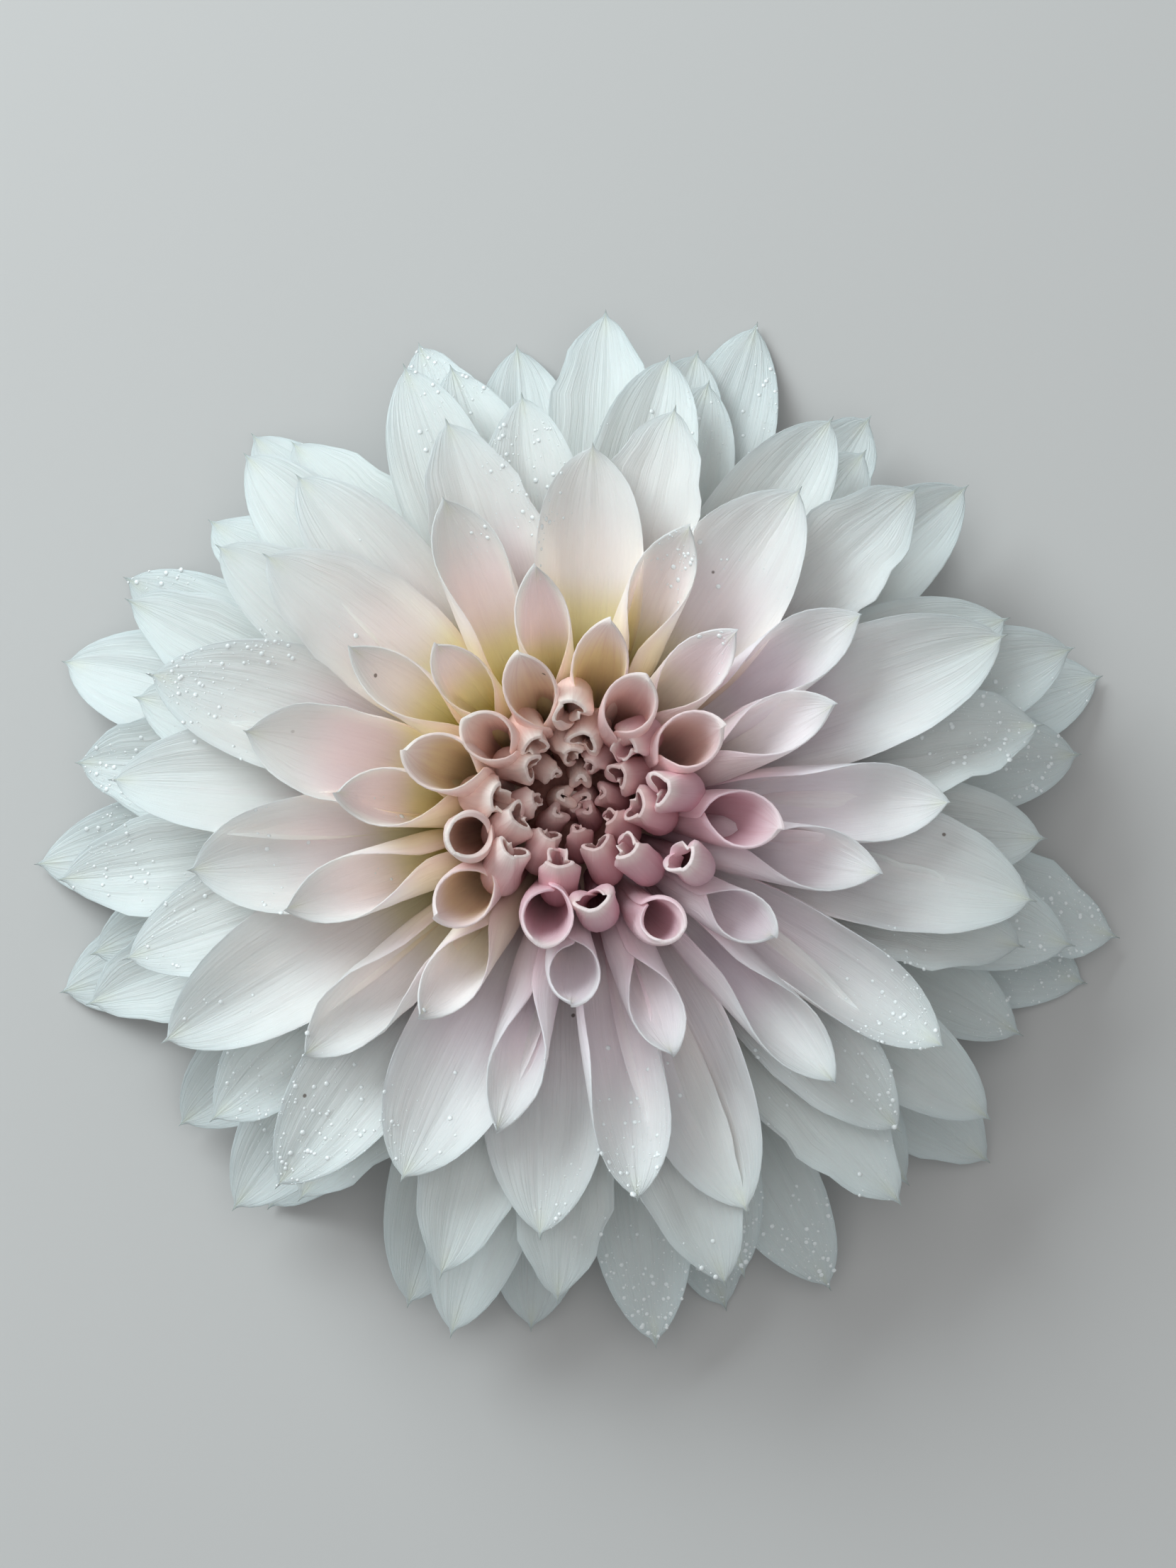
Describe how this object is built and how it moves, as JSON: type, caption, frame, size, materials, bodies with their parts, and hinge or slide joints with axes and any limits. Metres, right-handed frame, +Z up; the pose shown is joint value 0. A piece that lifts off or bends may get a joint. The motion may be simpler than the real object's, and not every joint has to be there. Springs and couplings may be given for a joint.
{
  "type": "dahlia bloom",
  "caption": "Double dahlia bloom lying face up: layered pale ray florets round a pink centre of florets still rolled shut, with green bracts and a short cut stalk beneath.",
  "frame": {"origin": "centre of the bloom's outline in plan, at the level of the surface it lies on", "axes": "+Z up through the middle of the face, along the flower's own axis; +Y to the side of the face that is at the top of the picture; +X to its right"},
  "size_m": [0.1312, 0.1244, 0.0412],
  "materials": {
    "ray_petal": "soft matt living petal, cream white with a warm throat",
    "centre_petal": "soft matt living petal, dusty pink with cream rims",
    "inner_bract": "thin pale green brown scale, slightly shiny",
    "green_stalk": "waxy green stalk and leafy bract"
  },
  "bodies": {
    "root": {"ray_florets": "ray_petal", "centre_florets": "centre_petal", "inner_bracts": "inner_bract", "stalk_and_outer_bracts": "green_stalk"}
  },
  "joints": []
}
